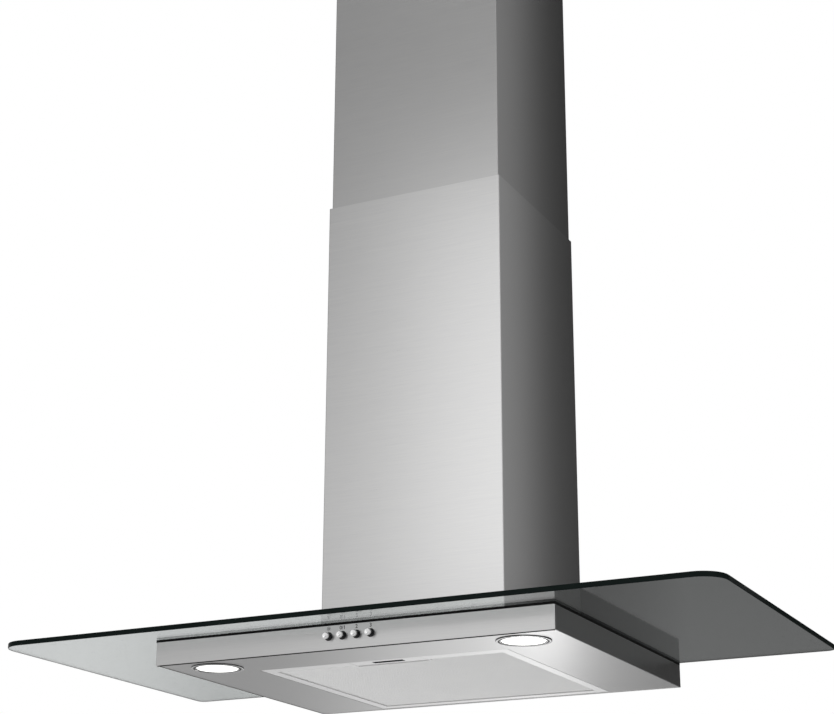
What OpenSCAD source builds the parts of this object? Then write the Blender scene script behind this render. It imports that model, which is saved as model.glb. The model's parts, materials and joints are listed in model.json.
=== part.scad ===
// Wall range hood with a flat glass canopy and a telescopic chimney.
// X runs to the right from the centre plane, Y runs back to the wall at 0, Z runs up from the canopy's underside.

/* [Glass canopy] */
// Width of the glass
glass_w = 898; // [740:1:1200]
// Depth of the glass, wall to front edge
glass_d = 450; // [370:1:600]
// Thickness of the glass
glass_t = 6; // [5:0.5:10]
// Radius of the two front corners of the glass
front_corner_r = 30; // [10:1:60]
// Radius of the two rear corners of the glass
rear_corner_r = 10; // [4:1:20]
// Thickness of the rubber gasket under the glass
gasket_t = 2; // [1.5:0.5:4]
// Width of the gasket strip round the edge of the box
gasket_w = 12; // [8:1:20]

/* [Canopy box] */
// Width of the steel box under the glass
box_w = 504; // [420:1:700]
// Depth of the steel box
box_d = 404; // [336:1:500]
// Height of the steel box
box_h = 28; // [23:1:40]
// Thickness of the steel sheet
sheet = 1; // [0.8:0.1:1.5]
// How far the underside panel is set up into the box
panel_inset = 0.5; // [0.5:0.1:2]
// Gap between the underside panel and the box walls
panel_gap = 0.3; // [0.2:0.1:0.6]
// Height of the upturned rim at the panel's edge
panel_rim_h = 6; // [4:0.5:7]
// Height of the upturned rim round the filter opening
opening_rim_h = 12; // [11:0.5:13]

/* [Grease filter] */
// Width of the filter
filter_w = 318; // [260:1:384]
// Thickness of the filter
filter_t = 10; // [9:0.5:12]
// Distance from the front of the box to the filter opening
front_margin = 82; // [80:1:120]
// Distance from the wall to the filter opening
rear_margin = 4; // [4:0.5:8]
// Gap between the filter and its opening
filter_gap = 1; // [0.8:0.1:2]
// Extra gap behind the filter, for its swing
filter_rear_gap = 2; // [2:0.5:5]
// Width of the frame's side and rear borders
side_border = 12; // [12:0.5:20]
// Width of the frame's front border
front_border = 18; // [12:1:30]
// Thickness of each expanded metal sheet
mesh_t = 1.4; // [0.8:0.1:2]
// Radius of the pivot pins
pivot_r = 1.5; // [1.2:0.1:2]
// Distance from the filter's rear edge to the pivot
pivot_back = 4.5; // [4:0.5:6]
// Width of the latch plate
latch_w = 91; // [80:1:110]
// Depth of the latch pocket
latch_pocket_d = 27; // [25:1:34]
// Travel of the latch
latch_travel = 6; // [5:0.5:7]
// Width of the finger slot
slot_w = 40; // [30:1:50]

/* [Lamps] */
// Distance from the side of the box to the lamp centre
lamp_side = 56; // [50:1:80]
// Distance from the front of the box to the lamp centre
lamp_front = 46; // [42:1:46]
// Outer radius of the lamp trim
lamp_trim_r = 31; // [28:1:34]
// Radius of the lamp lens
lens_r = 24.7; // [20:0.1:25]
// Radius of the hole in the panel
lamp_hole_r = 27; // [26:0.5:27.5]

/* [Buttons] */
// Centre of the button row
switch_x = 5; // [-60:1:60]
// Height of the buttons above the underside
button_z = 15; // [12:0.5:20]
// Distance between buttons
button_pitch = 17.7; // [15:0.1:24]
// Radius of the button cap
cap_r = 3.75; // [3.3:0.05:4.5]
// Thickness of the button cap
cap_t = 3; // [2:0.5:4]
// How far a button stands out of the box
button_out = 9; // [8:0.5:12]
// Travel of a button
button_travel = 4; // [2:0.5:4]
// Radius of the button stem
stem_r = 3; // [2:0.1:3.2]

/* [Chimney] */
// Outer width of the lower chimney
chimney_w = 245; // [204:1:320]
// Outer depth of the lower chimney
chimney_d = 243; // [202:1:320]
// Height of the lower chimney
lower_h = 585; // [480:1:720]
// Height of the upper chimney
upper_h = 580; // [480:1:720]
// Length of the upper chimney inside the lower one
chimney_overlap = 180; // [120:1:300]
// Gap between the two chimneys at the sides
chimney_gap = 1.5; // [1:0.1:3]
// Gap between the two chimneys at the front
chimney_front_gap = 2; // [1:0.1:4]
// Width of the return flanges at the wall
return_w = 10; // [8:1:16]
// Thickness of the glide pads
glide_t = 1.2; // [0.7:0.1:1.2]

/* [Blower] */
// Room between the casing and the upper chimney, each side
side_room = 31; // [30:1:36]
// Room between the casing and the upper chimney at the front
front_room = 17; // [10:1:30]
// Gap between the scroll and the casing
scroll_gap = 15; // [8:1:20]
// Wall of the plastic scroll
scroll_t = 1.5; // [1.2:0.1:3]
// Growth of the scroll's radius over its turn
scroll_growth = 18; // [12:1:24]
// Gap between the impeller and the scroll's tongue
tongue_gap = 7; // [5:0.5:10]
// Width of the impeller
impeller_w = 110; // [80:1:116]
// Number of impeller blades
blade_count = 36; // [24:2:48]
// Radius of the impeller shaft
shaft_r = 4; // [3:0.5:5]
// Radius of the motor
motor_r = 42; // [34:1:48]
// Outer radius of the duct collar
duct_r = 62; // [60:0.5:62]
// Height of the duct collar above its flange
duct_h = 41; // [30:1:60]
// Wall of the duct collar
duct_t = 1.5; // [1:0.1:2]

/* [Fixings] */
// Thickness of the support plate on the glass
support_t = 1.5; // [1.5:0.5:3]
// Thickness of the wall plate
wall_plate_t = 2; // [2:0.5:3]
// Radius of the holes for the wall screws
wall_hole_r = 4; // [3:0.5:5]
// Height between the wall screw holes
wall_hole_dz = 200; // [150:1:230]
// Height of the lower wall screws above the glass
wall_hole_z = 50; // [40:1:70]
// Radius of the glass bolts
bolt_r = 3; // [2.5:0.5:3]
// Distance from the side of the blower casing to the glass bolts
bolt_side = 9; // [9:0.5:11]
// Radius of the ceiling screw holes
ceiling_hole_r = 3; // [2.5:0.5:4]

/* [Hidden] */
$fn = 64;

cut = 1;                 // how far a cut runs past a face
fit = 0.3;               // loose clearance between pieces
slide = 0.06;            // radial clearance of a running shaft or pin
press = 0.02;            // radial clearance of a pin that is held fast
spring_room = 0.1;

// levels of the canopy
box_top = box_h;
under_top = box_h - sheet;
glass_z = box_top + gasket_t;
glass_top = glass_z + glass_t;
support_top = glass_top + support_t;
panel_z = panel_inset;
panel_top = panel_z + sheet;
panel_w = box_w - 2 * (sheet + panel_gap);
panel_d = box_d - 2 * (sheet + panel_gap);

// filter opening and filter
opening_w = filter_w + 2 * filter_gap;
opening_front = -(box_d - front_margin);
opening_rear = -rear_margin;
filter_front = opening_front + filter_gap;
filter_rear = opening_rear - filter_rear_gap;
filter_z = panel_z + 0.1;
filter_top = filter_z + filter_t;
lip = 1;                 // sheet of the filter frame
channel = [-filter_w / 2 + lip, filter_w / 2 - lip];
pivot_y = filter_rear - pivot_back;
pivot_z = filter_z + 3.4;
pivot_block_w = 12;
pivot_block_d = 10;
latch_step = 1.3;        // thickness of the visible layer of the latch plate
latch_plate_t = 1.5;
latch_y = filter_front + lip + fit;
latch_d = latch_pocket_d - latch_travel - 1;
latch_rear_z = 8;
tongue_w = 16;
tongue_z = filter_z + 5;
tongue_t = 2.2;
tongue_short = 0.4;      // gap between the tongue and the striker
latch_spring_x = 30;
latch_spring_r = 2;

// lamps
lamp_x = box_w / 2 - lamp_side;
lamp_y = -(box_d - lamp_front);
trim_t = 1.2;
trim_neck_h = 8;
trim_wall = 1.6;
ledge_z = panel_z + 1.4;
ledge_t = 1;
reflector_z = ledge_z + ledge_t;
reflector_h = 13;
socket_z = reflector_z + reflector_h + 1;
socket_w = 16;
socket_top = under_top - 2;

// buttons
front_face = -box_d;
front_inner = front_face + sheet;
bush_flange_t = 2;
bush_r = stem_r + 1.9;
block_y = front_inner + bush_flange_t;
block_d = 22;
block_w = 3 * button_pitch + 22.9;
block_z = panel_top + 3.5;
block_top = under_top - 2;
collar_r = stem_r + 1;
collar_t = 2;
well_r = collar_r + 0.4;
stem_in = 9;             // length of the stem inside the block
spring_h = 5;            // length of a button's spring when it is pressed
well_d = stem_in + button_travel + spring_h;
stem_end = block_y + stem_in;
cap_y = front_face - button_out + cap_t;

// chimney
lower_in_w = chimney_w - 2 * sheet;
upper_w = lower_in_w - 2 * chimney_gap;
upper_front = -(chimney_d - sheet - chimney_front_gap);
upper_rear = -2 * sheet;
upper_in_w = upper_w - 2 * sheet;
lower_z = glass_top;
lower_top = lower_z + lower_h;
upper_z = lower_top - chimney_overlap;
upper_top = upper_z + upper_h;

// blower
casing_w = upper_in_w - 2 * side_room;
casing_front = upper_front + sheet + front_room;
casing_rear = -wall_plate_t;
casing_in_d = casing_rear - casing_front - 2 * sheet;
scroll_w = 2 * duct_r;
scroll_start = 73;
scroll_turn = 180 + scroll_start;
impeller_r = (casing_in_d - 2 * scroll_gap - scroll_growth * (1 + scroll_start / scroll_turn)) / 2 - tongue_gap;
scroll_min = impeller_r + tongue_gap;
scroll_max = scroll_min + scroll_growth;
fan_y = casing_front + sheet + scroll_gap + scroll_max;
fan_z = support_top + 12 + scroll_min + scroll_growth * (scroll_start + 90) / scroll_turn;
casing_top = fan_z + scroll_min + 60;
blade_d = 13;
duct_y = fan_y - scroll_max + duct_r;
collar_z = casing_top + 1.5;
damper_z = collar_z + 14;
damper_r = duct_r - duct_t - 0.9;
damper_t = 1;
spindle_r = 1.5;
knuckle_r = 2.6;
foot_w = 16;
bolt_x = casing_w / 2 + bolt_side;

// air way through the glass
airway_w = casing_w - 16;
airway_front = casing_front + 16;
airway_rear = -20;
airway_d = airway_rear - airway_front;
airway_y = (airway_front + airway_rear) / 2;
airway_r = 20;
bolts = [for (sx = [-1, 1], y = [airway_front + 10, airway_rear - 10]) [sx * bolt_x, y]];
glass_hole_r = bolt_r + 3.5;
bush_gap = 0.2;

// electrics
terminal = [24, 90, 80];
terminal_y = airway_y - 45;
terminal_z = support_top + 110;
capacitor_r = 13;
capacitor_h = 52;
transformer = [50, 50];
transformer_x = switch_x + block_w / 2 + 23;

// glides, bracket and screws of the upper chimney
glide = [40, 40];
bracket_h = 34;
bracket_t = 1.5;
bracket_d = 130;
bracket_y = [-40, -100];

// routes of the wires inside the canopy and the casing
switch_wire = [[5, -379, 12], [5, -352, 12], [40, -338, 14], [58, -334, 20], [60, -300, 23.7], [60, -205, 23.7],
    [74, -185, 24], [76, -184, 50], [76, -184, 110], [76, -150, 170], [77, -112, 188], [88, -112, 188]];
left_lamp_wire = [[-188, -358, 21], [-174, -358, 21], [-150, -350, 24], [-60, -348, 24], [36, -350, 24],
    [52, -366, 20], [66, -366, 20]];
right_lamp_wire = [[188, -358, 21], [165, -358, 21], [140, -366, 20], [116, -366, 20]];
switch_wire_r = 3;
lamp_wire_r = 1.8;

function unit(v) = v / norm(v);
// a wire's route with its corners rounded once
function eased(p) = concat([p[0]], [for (i = [0:len(p) - 2], k = [0.25, 0.75]) p[i] * (1 - k) + p[i + 1] * k],
    [p[len(p) - 1]]);
function tangent(p, i) = unit(p[min(i + 1, len(p) - 1)] - p[max(i - 1, 0)]);
function ring(p, i, r, sides, side) = let(t = tangent(p, i), u = unit(cross(t, side)), v = cross(t, u))
    [for (j = [0:sides - 1]) p[i] + r * (cos(360 * j / sides) * u + sin(360 * j / sides) * v)];
function coil(length, r, turns, steps) = [for (i = [0:turns * steps])
    [r * cos(360 * i / steps), r * sin(360 * i / steps), length * i / (turns * steps)]];

module slab(x, y, z) translate([x[0], y[0], z[0]]) cube([x[1] - x[0], y[1] - y[0], z[1] - z[0]]);
module mid_slab(w, y, z) slab([-w / 2, w / 2], y, z);
module rod_x(x, y, z, r) translate([x[0], y, z]) rotate([0, 90, 0]) cylinder(h = x[1] - x[0], r = r);
module rod_y(x, y, z, r) translate([x, y[0], z]) rotate([-90, 0, 0]) cylinder(h = y[1] - y[0], r = r);
module rod_z(x, y, z, r) translate([x, y, z[0]]) cylinder(h = z[1] - z[0], r = r);
module at_bolts() for (b = bolts) translate([b[0], b[1], 0]) children();
module both_sides() { children(); mirror([1, 0, 0]) children(); }

// a tube of round section along a list of points
module sweep(p, r, sides, side = [0.31, 0.52, 0.79]) {
    n = len(p);
    rings = [for (i = [0:n - 1], q = ring(p, i, r, sides, side)) q];
    walls = [for (i = [0:n - 2], j = [0:sides - 1]) let(a = i * sides + j, b = i * sides + (j + 1) % sides)
        each [[a + sides, b + sides, b], [a + sides, b, a]]];
    ends = [[for (j = [0:sides - 1]) j], [for (j = [sides - 1:-1:0]) (n - 1) * sides + j]];
    polyhedron(points = rings, faces = concat(walls, ends));
}

// a spring of the given free length, with a hair of room at each end
module spring(length, r, wire, turns) translate([0, 0, wire + spring_room])
    sweep(coil(length - 2 * (wire + spring_room), r - wire, turns, 12), wire, 6, [0, 0, 1]);

module rounded(w, d, r) {
    square([w - 2 * r, d], center = true);
    square([w, d - 2 * r], center = true);
    for (x = [-1, 1], y = [-1, 1]) translate([x * (w / 2 - r), y * (d / 2 - r)]) circle(r = r);
}

// outline of the glass, with its own radius at the front and at the rear corners
module glass_outline() {
    translate([-glass_w / 2, front_corner_r - glass_d])
        square([glass_w, glass_d - front_corner_r - rear_corner_r]);
    for (c = [[front_corner_r, -glass_d, 1], [rear_corner_r, 0, -1]]) {
        r = c[0];
        x = glass_w / 2 - r;
        y = c[1] + c[2] * r;
        translate([-x, min(c[1], y)]) square([2 * x, r]);
        for (sx = [-1, 1]) translate([sx * x, y]) circle(r = r);
    }
}

module airway(z, grow = 0) translate([0, airway_y, z[0]]) linear_extrude(z[1] - z[0])
    rounded(airway_w + 2 * grow, airway_d + 2 * grow, airway_r + grow);

module glass_canopy() color("lightcyan", 0.5) difference() {
    translate([0, 0, glass_z]) linear_extrude(glass_t) glass_outline();
    airway([glass_z - cut, glass_top + cut]);
    at_bolts() rod_z(0, 0, [glass_z - cut, glass_top + cut], glass_hole_r);
}

module glass_gasket() color("black") {
    difference() {
        mid_slab(box_w - 2 * sheet, [-box_d + sheet, -sheet], [box_top, glass_z]);
        mid_slab(box_w - 2 * (sheet + gasket_w), [-box_d + sheet + gasket_w, -sheet - gasket_w],
            [box_top - cut, glass_z + cut]);
    }
    difference() {
        airway([box_top, glass_z], 8);
        airway([box_top - cut, glass_z + cut], 2);
    }
}

module canopy_frame() color("lightgrey") {
    difference() {
        mid_slab(box_w, [-box_d, 0], [0, box_top]);
        mid_slab(box_w - 2 * sheet, [-box_d + sheet, -sheet], [-cut, under_top]);
        airway([under_top - cut, box_top + cut]);
        at_bolts() rod_z(0, 0, [under_top - cut, box_top + cut], bolt_r + fit);
        at_buttons() rod_y(0, [front_face - cut, front_inner + cut], 0, bush_r + 0.1);
    }
    at_bolts() difference() {
        rod_z(0, 0, [under_top - 5, under_top], bolt_r + 3);
        rod_z(0, 0, [under_top - 5 - cut, under_top + cut], bolt_r + press);
    }
}

module underside_panel() color("silver") {
    rim_y = [-sheet - panel_gap - panel_d, -sheet - panel_gap];
    difference() {
        union() {
            mid_slab(panel_w, rim_y, [panel_z, panel_top]);
            difference() {
                mid_slab(panel_w, rim_y, [panel_z, panel_top + panel_rim_h]);
                mid_slab(panel_w - 2 * sheet, [rim_y[0] + sheet, rim_y[1] - sheet],
                    [panel_z - cut, panel_top + panel_rim_h + cut]);
            }
            mid_slab(opening_w + 2 * sheet, [opening_front - sheet, opening_rear + sheet],
                [panel_z, panel_top + opening_rim_h]);
            both_sides() slab([opening_w / 2, opening_w / 2 + 4], [pivot_y - 6, pivot_y + 5.5],
                [panel_z, pivot_z + 5]);
        }
        mid_slab(opening_w, [opening_front, opening_rear], [panel_z - cut, panel_top + opening_rim_h + cut]);
        for (s = [-1, 1]) {
            rod_z(s * lamp_x, lamp_y, [panel_z - cut, panel_top + cut], lamp_hole_r);
            rod_x([s * (opening_w / 2 + 2) - 4, s * (opening_w / 2 + 2) + 4], pivot_y, pivot_z, pivot_r + slide);
        }
        slab([switch_x - tongue_w / 2 - 1, switch_x + tongue_w / 2 + 1],
            [opening_front - sheet - cut, opening_front + cut], [tongue_z - 0.4, tongue_z + tongue_t + 0.4]);
    }
}

module support_plate() color("grey") difference() {
    w = lower_in_w - 2 * fit;
    d = [-(chimney_d - sheet - fit), -sheet - fit];
    union() {
        mid_slab(w, d, [glass_top, support_top]);
        mid_slab(w, [d[0], d[0] + sheet], [glass_top, support_top + 12]);
    }
    airway([glass_top - cut, support_top + cut]);
    at_bolts() rod_z(0, 0, [glass_top - cut, support_top + cut], bolt_r + fit);
}

module glass_bolts() color("gainsboro") at_bolts() {
    tab_top = support_top + 2 * sheet;
    rod_z(0, 0, [under_top - 6, tab_top], bolt_r);
    difference() {
        rod_z(0, 0, [tab_top, tab_top + 5], bolt_r + 2);
        translate([0, 0, tab_top + 2]) cylinder(h = 5, r = bolt_r - 0.2, $fn = 6);
    }
}

module glass_bushes() color("ivory") at_bolts() difference() {
    union() {
        rod_z(0, 0, [glass_z, glass_top], glass_hole_r - bush_gap);
        rod_z(0, 0, [box_top, glass_z], glass_hole_r + 1);
    }
    rod_z(0, 0, [box_top - cut, glass_top + cut], bolt_r + bush_gap);
}

// everything in the filter that the latch pocket and the pivot blocks take away from the meshes
module filter_hollows(grow) {
    slab([switch_x - latch_w / 2 - 2.5 - grow, switch_x + latch_w / 2 + 2.5 + grow],
        [filter_front - cut, filter_front + lip + latch_pocket_d + lip + grow], [filter_z - cut, filter_top + cut]);
    both_sides() slab([filter_w / 2 - lip - pivot_block_w - grow, filter_w / 2 + cut],
        [filter_rear - lip - pivot_block_d - grow, filter_rear + cut], [filter_z - cut, filter_top + cut]);
}

module filter_layer(z) difference() {
    slab([channel[0] + fit, channel[1] - fit], [filter_front + lip + fit, filter_rear - lip - fit], z);
    filter_hollows(fit);
}

module filter_frame() color("gainsboro") difference() {
    mid_slab(filter_w, [filter_front, filter_rear], [filter_z, filter_top]);
    difference() {
        mid_slab(filter_w - 2 * lip, [filter_front + lip, filter_rear - lip], [filter_z + lip, filter_top - lip]);
        filter_hollows(0);
    }
    difference() {
        mid_slab(filter_w - 2 * side_border, [filter_front + front_border, filter_rear - side_border],
            [filter_z - cut, filter_top + cut]);
        filter_hollows(0);
    }
    // latch pocket, closed above, with its mouth in the bottom lip
    slab([switch_x - latch_w / 2 - 1.5, switch_x + latch_w / 2 + 1.5],
        [filter_front + lip, filter_front + lip + latch_pocket_d], [filter_z + lip, filter_top - lip]);
    slab([switch_x - latch_w / 2 - 0.5, switch_x + latch_w / 2 + 0.5],
        [filter_front + lip, filter_front + lip + latch_pocket_d], [filter_z - cut, filter_z + lip + cut]);
    slab([switch_x - tongue_w / 2 - 0.5, switch_x + tongue_w / 2 + 0.5],
        [filter_front - cut, filter_front + lip + cut], [tongue_z - 0.3, tongue_z + tongue_t + 0.3]);
    for (s = [-1, 1]) rod_x([s * (filter_w / 2 - 4) - 5, s * (filter_w / 2 - 4) + 5], pivot_y, pivot_z,
        pivot_r + press);
}

module filter_front_mesh() color("silver") filter_layer([filter_z + lip, filter_z + lip + mesh_t]);
module filter_core() color("darkgrey") filter_layer([filter_z + lip + mesh_t, filter_top - lip - mesh_t]);
module filter_back_mesh() color("silver") filter_layer([filter_top - lip - mesh_t, filter_top - lip]);

module filter_pivot_pins() color("grey") for (s = [-1, 1])
    rod_x([s * (filter_w / 2 - 2) - 6.5, s * (filter_w / 2 - 2) + 6.5], pivot_y, pivot_z, pivot_r);

module filter_latch() color("grey") {
    guide_z = filter_z + latch_step;
    difference() {
        union() {
            slab([switch_x - latch_w / 2, switch_x + latch_w / 2], [latch_y, latch_y + latch_d],
                [filter_z, guide_z]);
            slab([switch_x - latch_w / 2 - 1, switch_x + latch_w / 2 + 1], [latch_y, latch_y + latch_d],
                [guide_z, guide_z + latch_plate_t]);
        }
        slab([switch_x - slot_w / 2, switch_x + slot_w / 2], [latch_y + 6, latch_y + latch_d - 4],
            [filter_z - cut, filter_z + 5]);
    }
    slab([switch_x - tongue_w / 2, switch_x + tongue_w / 2], [latch_y, latch_y + 3.5],
        [guide_z, tongue_z + tongue_t]);
    slab([switch_x - tongue_w / 2, switch_x + tongue_w / 2], [opening_front + tongue_short, latch_y + 3.5],
        [tongue_z, tongue_z + tongue_t]);
    for (s = [-1, 1]) slab([switch_x + s * latch_spring_x - 3.5, switch_x + s * latch_spring_x + 3.5],
        [latch_y + latch_d - 3, latch_y + latch_d], [guide_z, filter_z + latch_rear_z]);
}

module filter_latch_springs() color("dimgrey") for (s = [-1, 1])
    translate([switch_x + s * latch_spring_x, latch_y + latch_d, filter_z + 5.6]) rotate([-90, 0, 0])
        spring(latch_pocket_d - latch_d - fit, latch_spring_r, 0.3, 4);

// the pieces of one lamp are drawn about its own centre
module at_lamp(side) translate([side * lamp_x, lamp_y, 0]) children();

module lamp_trim(side) color("silver") at_lamp(side) rotate_extrude() {
    neck_r = lamp_hole_r - 0.4;
    translate([lens_r + 0.3, panel_z - trim_t]) square([lamp_trim_r - lens_r - 0.3, trim_t]);
    translate([lens_r + 0.3, panel_z - trim_t]) square([neck_r - lens_r - 0.3, trim_t + trim_neck_h]);
    translate([lens_r - 3, ledge_z]) square([neck_r - lens_r + 3, ledge_t]);
}

module lamp_lens(side) color("white") at_lamp(side) rod_z(0, 0, [panel_z - trim_t + 0.4, ledge_z], lens_r);

module lamp_reflector(side) color("whitesmoke") at_lamp(side) rotate_extrude() polygon([
    [lens_r - 0.3, reflector_z], [lens_r - 0.3, reflector_z + 1], [lens_r - 3, reflector_z + 1],
    [9, reflector_z + reflector_h], [9, socket_z], [4.5, socket_z], [4.5, socket_z - 1],
    [8, socket_z - 1], [lens_r - 4.3, reflector_z]]);

module lamp_bulb(side) color("lightyellow") at_lamp(side) {
    rod_z(0, 0, [reflector_z + 7.5, socket_z], 3.2);
    translate([0, 0, reflector_z + 7.5]) sphere(r = 3.2);
}

module lamp_socket(side) color("ivory") at_lamp(side)
    mid_slab(socket_w, [-socket_w / 2, socket_w / 2], [socket_z, socket_top]);

module left_lamp_trim() lamp_trim(-1);
module left_lamp_lens() lamp_lens(-1);
module left_lamp_reflector() lamp_reflector(-1);
module left_lamp_bulb() lamp_bulb(-1);
module left_lamp_socket() lamp_socket(-1);
module right_lamp_trim() lamp_trim(1);
module right_lamp_lens() lamp_lens(1);
module right_lamp_reflector() lamp_reflector(1);
module right_lamp_bulb() lamp_bulb(1);
module right_lamp_socket() lamp_socket(1);

// button 0 is the lamp's, 1 to 3 are the speeds
module at_button(i) translate([switch_x + (i - 1.5) * button_pitch, 0, button_z]) children();
module at_buttons() for (i = [0:3]) at_button(i) children();

module switch_block() color("dimgrey") difference() {
    slab([switch_x - block_w / 2, switch_x + block_w / 2], [block_y, block_y + block_d], [block_z, block_top]);
    at_buttons() rod_y(0, [block_y - cut, block_y + well_d], 0, well_r);
}

module button_bushes() color("black") at_buttons() difference() {
    union() {
        rod_y(0, [front_face, front_inner], 0, bush_r);
        rod_y(0, [front_inner, block_y], 0, bush_r + 1.6);
    }
    rod_y(0, [front_face - cut, block_y + cut], 0, stem_r + slide);
}

module button_cap(i) color("silver") at_button(i) rod_y(0, [front_face - button_out, cap_y], 0, cap_r);
module button_stem(i) color("black") at_button(i) {
    rod_y(0, [cap_y, stem_end], 0, stem_r);
    rod_y(0, [block_y + fit, block_y + fit + collar_t], 0, collar_r);
}
module button_spring(i) color("dimgrey") at_button(i) translate([0, stem_end, 0]) rotate([-90, 0, 0])
    spring(well_d - stem_in, stem_r, 0.3, 4);

module lamp_button() button_cap(0);
module speed_1_button() button_cap(1);
module speed_2_button() button_cap(2);
module speed_3_button() button_cap(3);
module lamp_button_stem() button_stem(0);
module speed_1_stem() button_stem(1);
module speed_2_stem() button_stem(2);
module speed_3_stem() button_stem(3);
module lamp_button_spring() button_spring(0);
module speed_1_spring() button_spring(1);
module speed_2_spring() button_spring(2);
module speed_3_spring() button_spring(3);

module blower_casing() color("lightsteelblue") difference() {
    union() {
        mid_slab(casing_w, [casing_front, casing_rear], [support_top, casing_top]);
        mid_slab(casing_w + 2 * foot_w, [casing_front, casing_rear], [support_top, support_top + sheet]);
    }
    mid_slab(casing_w - 2 * sheet, [casing_front + sheet, casing_rear - sheet],
        [support_top - cut, casing_top - sheet]);
    rod_z(0, duct_y, [casing_top - sheet - cut, casing_top + cut], duct_r - duct_t);
    at_bolts() rod_z(0, 0, [support_top - cut, support_top + sheet + cut], bolt_r + fit);
    rod_x([casing_w / 2 - sheet - cut, casing_w / 2 + cut], -112, 188, 5);
}

module wall_plate() color("grey") difference() {
    w = lower_in_w - 2 * return_w - 6;
    mid_slab(w, [-wall_plate_t, 0], [support_top + 3, casing_top + 20]);
    for (s = [-1, 1], z = [0, wall_hole_dz])
        rod_y(s * (casing_w / 2 + 10), [-wall_plate_t - cut, cut], glass_top + wall_hole_z + z, wall_hole_r);
}

// section of the scroll: a spiral that opens into a straight outlet, inset by d
module scroll_outline(d, top) polygon(concat(
    [for (i = [0:36]) let(a = scroll_start - scroll_turn * i / 36, r = scroll_min + scroll_growth * i / 36 - d)
        [fan_y + r * cos(a), fan_z + r * sin(a)]],
    [[fan_y - scroll_max + d, top], [fan_y - scroll_max + 2 * duct_r - d, top]]));

module along_x(x) translate([x[0], 0, 0]) rotate([90, 0, 90]) linear_extrude(x[1] - x[0]) children();

module scroll_half(side) color("whitesmoke") mirror([side < 0 ? 1 : 0, 0, 0]) difference() {
    top = casing_top - sheet;
    along_x([0, scroll_w / 2]) scroll_outline(0, top);
    along_x([-cut, scroll_w / 2 - scroll_t]) scroll_outline(scroll_t, top + cut);
    rod_x([0, scroll_w / 2 + cut], fan_y, fan_z, impeller_r - blade_d + 2);
}
module scroll_left() scroll_half(-1);
module scroll_right() scroll_half(1);

module impeller() color("darkslategrey") translate([0, fan_y, fan_z]) rotate([0, 90, 0]) difference() {
    inner = impeller_r - blade_d;
    union() {
        for (z = [-impeller_w / 2, impeller_w / 2 - 3]) translate([0, 0, z]) difference() {
            cylinder(h = 3, r = impeller_r);
            translate([0, 0, -cut]) cylinder(h = 3 + 2 * cut, r = inner);
        }
        for (i = [0:blade_count - 1]) rotate([0, 0, 360 * i / blade_count])
            translate([inner + 0.5, -0.6, 1 - impeller_w / 2]) cube([blade_d - 1, 1.2, impeller_w - 2]);
        translate([0, 0, -1]) cylinder(h = 2, r = impeller_r - 1);
        translate([0, 0, -12]) cylinder(h = 13, r = shaft_r + 6);
    }
    translate([0, 0, -20]) cylinder(h = 30, r = shaft_r + press);
}

module impeller_shaft() color("silver") rod_x([-14, 46], fan_y, fan_z, shaft_r);

module motor_body() color("dimgrey") difference() {
    union() {
        rod_x([6, 50], fan_y, fan_z, motor_r);
        rod_x([50, scroll_w / 2], fan_y, fan_z, 20);
    }
    rod_x([6 - cut, 48], fan_y, fan_z, shaft_r + slide);
}

module motor_bracket() color("grey") translate([scroll_w / 2, fan_y, fan_z]) rotate([0, 90, 0]) {
    cylinder(h = 2, r = 30);
    for (a = [90, 210, 330]) rotate([0, 0, a]) translate([0, -8, 0]) cube([impeller_r - blade_d + 12, 16, 2]);
}

module outlet_collar() color("black") difference() {
    flange = 2 * duct_r + 14;
    union() {
        translate([-flange / 2, duct_y - flange / 2, casing_top]) cube([flange, flange, 1.5]);
        rod_z(0, duct_y, [collar_z, collar_z + duct_h], duct_r);
    }
    rod_z(0, duct_y, [casing_top - cut, collar_z + duct_h + cut], duct_r - duct_t);
    rod_x([-duct_r - cut, duct_r + cut], duct_y, damper_z, spindle_r + press);
}

module damper_spindle() color("silver") rod_x([-duct_r + 0.5, duct_r - 0.5], duct_y, damper_z, spindle_r);

// one half of the flap; side is 1 for the rear half and -1 for the front half
module damper_flap(side) color("dimgrey") translate([0, duct_y, damper_z]) difference() {
    spans = side > 0 ? [[-46, -26], [26, 46]] : [[-22, -2], [2, 22]];
    union() {
        intersection() {
            rod_z(0, 0, [-damper_t / 2, damper_t / 2], damper_r);
            union() {
                mid_slab(3 * duct_r, side > 0 ? [3.4, 2 * duct_r] : [-2 * duct_r, -3.4], [-duct_t, duct_t]);
                for (x = spans) slab(x, side > 0 ? [0, 5] : [-5, 0], [-duct_t, duct_t]);
            }
        }
        for (x = spans) rod_x(x, 0, 0, knuckle_r);
    }
    rod_x([-duct_r, duct_r], 0, 0, spindle_r + slide);
}
module damper_flap_front() damper_flap(-1);
module damper_flap_rear() damper_flap(1);

module terminal_box() color("black") translate([casing_w / 2, terminal_y, terminal_z]) difference() {
    cube(terminal);
    translate([1.5, 1.5, 1.5]) cube([terminal[0] - 3, terminal[1] - 3, terminal[2] - 3]);
    translate([terminal[0] / 2, terminal[1] / 2, terminal[2] - 3]) cylinder(h = 5, r = 5);
}

module supply_gland() color("dimgrey")
    translate([casing_w / 2 + terminal[0] / 2, terminal_y + terminal[1] / 2, terminal_z + terminal[2]])
    difference() {
        union() {
            cylinder(h = 4, r = 9);
            translate([0, 0, 4]) cylinder(h = 10, r = 7.5);
        }
        translate([0, 0, -cut]) cylinder(h = 20, r = 4.5);
    }

module motor_capacitor() color("lightgrey")
    rod_z(-casing_w / 2 - capacitor_r - fit, airway_y, [terminal_z, terminal_z + capacitor_h], capacitor_r);

module lamp_transformer() color("black") translate([transformer_x, front_inner + 8, panel_top + 5.5])
    cube([transformer[0], transformer[1], under_top - panel_top - 5.5]);

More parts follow.
